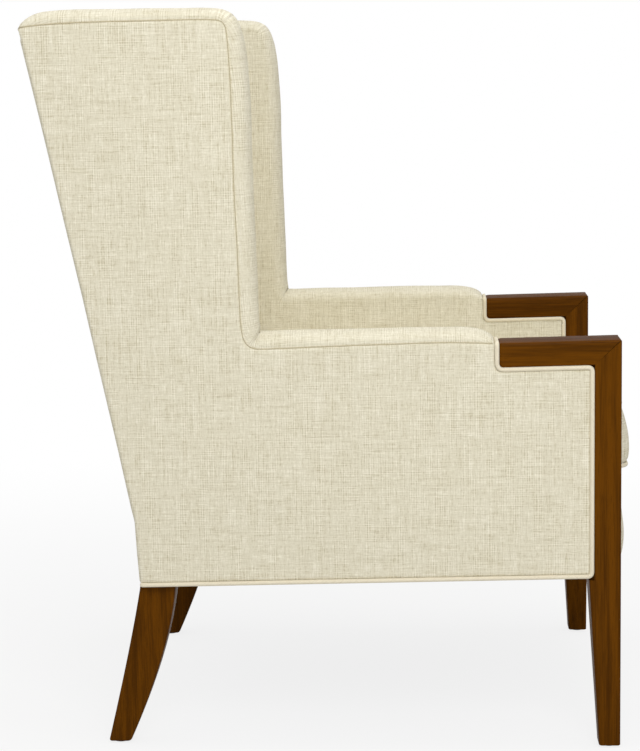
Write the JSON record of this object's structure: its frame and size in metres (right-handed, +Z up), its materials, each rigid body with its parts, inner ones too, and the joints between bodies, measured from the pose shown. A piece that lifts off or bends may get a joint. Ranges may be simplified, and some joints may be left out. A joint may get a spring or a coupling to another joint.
{
  "type": "fireside chair",
  "caption": "Upholstered wing armchair with mitred show-wood arms and posts, sabre rear legs and a loose boxed seat cushion.",
  "frame": {"origin": "on the floor, at the middle of the chair's width and depth", "axes": "+Z up, the chair faces -Y, +X towards the sitter's left"},
  "size_m": [0.7384, 0.8738, 1.0824],
  "materials": {
    "show_wood": "satin mid-brown walnut",
    "frame_wood": "bare sawn hardwood",
    "cover_cloth": "slubby linen-like weave",
    "piping": "covered cord in the cover cloth",
    "foam": "upholstery foam",
    "spring_steel": "drawn wire",
    "webbing": "elastic webbing",
    "lining_cloth": "plain nonwoven and tape",
    "glide": "matt nylon",
    "zip_metal": "plain nickel"
  },
  "bodies": {
    "chair": {"front_post_left": "show_wood", "front_post_right": "show_wood", "show_arm_left": "show_wood", "show_arm_right": "show_wood", "rear_leg_left": "show_wood", "rear_leg_right": "show_wood", "rear_leg_dowel_left": "frame_wood", "rear_leg_dowel_right": "frame_wood", "front_glide_left": "glide", "front_glide_right": "glide", "rear_glide_left": "glide", "rear_glide_right": "glide", "side_rail_left": "frame_wood", "side_rail_right": "frame_wood", "back_post_left": "frame_wood", "back_post_right": "frame_wood", "wing_post_left": "frame_wood", "wing_post_right": "frame_wood", "wing_top_rail_left": "frame_wood", "wing_top_rail_right": "frame_wood", "arm_rail_left": "frame_wood", "arm_rail_right": "frame_wood", "arm_tack_rail_left": "frame_wood", "arm_tack_rail_right": "frame_wood", "front_corner_block_left": "frame_wood", "front_corner_block_right": "frame_wood", "back_corner_block_left": "frame_wood", "back_corner_block_right": "frame_wood", "front_rail": "frame_wood", "back_rail": "frame_wood", "back_top_rail": "frame_wood", "back_tack_rail": "frame_wood", "seat_spring_1": "spring_steel", "seat_spring_2": "spring_steel", "seat_spring_3": "spring_steel", "seat_spring_4": "spring_steel", "seat_spring_5": "spring_steel", "back_webbing_1": "webbing", "back_webbing_2": "webbing", "back_webbing_3": "webbing", "edge_roll": "foam", "inside_arm_and_wing_left": "cover_cloth", "inside_arm_and_wing_right": "cover_cloth", "outside_panel_left": "cover_cloth", "outside_panel_right": "cover_cloth", "outside_back": "cover_cloth", "inside_back": "cover_cloth", "front_border": "cover_cloth", "deck_pad": "cover_cloth", "dust_cover": "lining_cloth", "side_piping_left": "piping", "side_piping_right": "piping", "front_piping": "piping", "back_piping": "piping"},
    "seat_cushion": {"seat_cushion_cover": "cover_cloth", "seat_cushion_core": "foam", "seat_cushion_zip": "lining_cloth", "seat_cushion_top_piping": "piping", "seat_cushion_bottom_piping": "piping"},
    "zip_slider": {"seat_cushion_zip_slider": "zip_metal"}
  },
  "joints": [
    {"name": "seat_cushion_lift", "type": "slide", "parent": "chair", "child": "seat_cushion", "axis": [0, 0, 1], "range_m": [0, 0.3]},
    {"name": "zip_slide", "type": "slide", "parent": "seat_cushion", "child": "zip_slider", "axis": [-1, 0, 0], "range_m": [0, 0.398]}
  ]
}
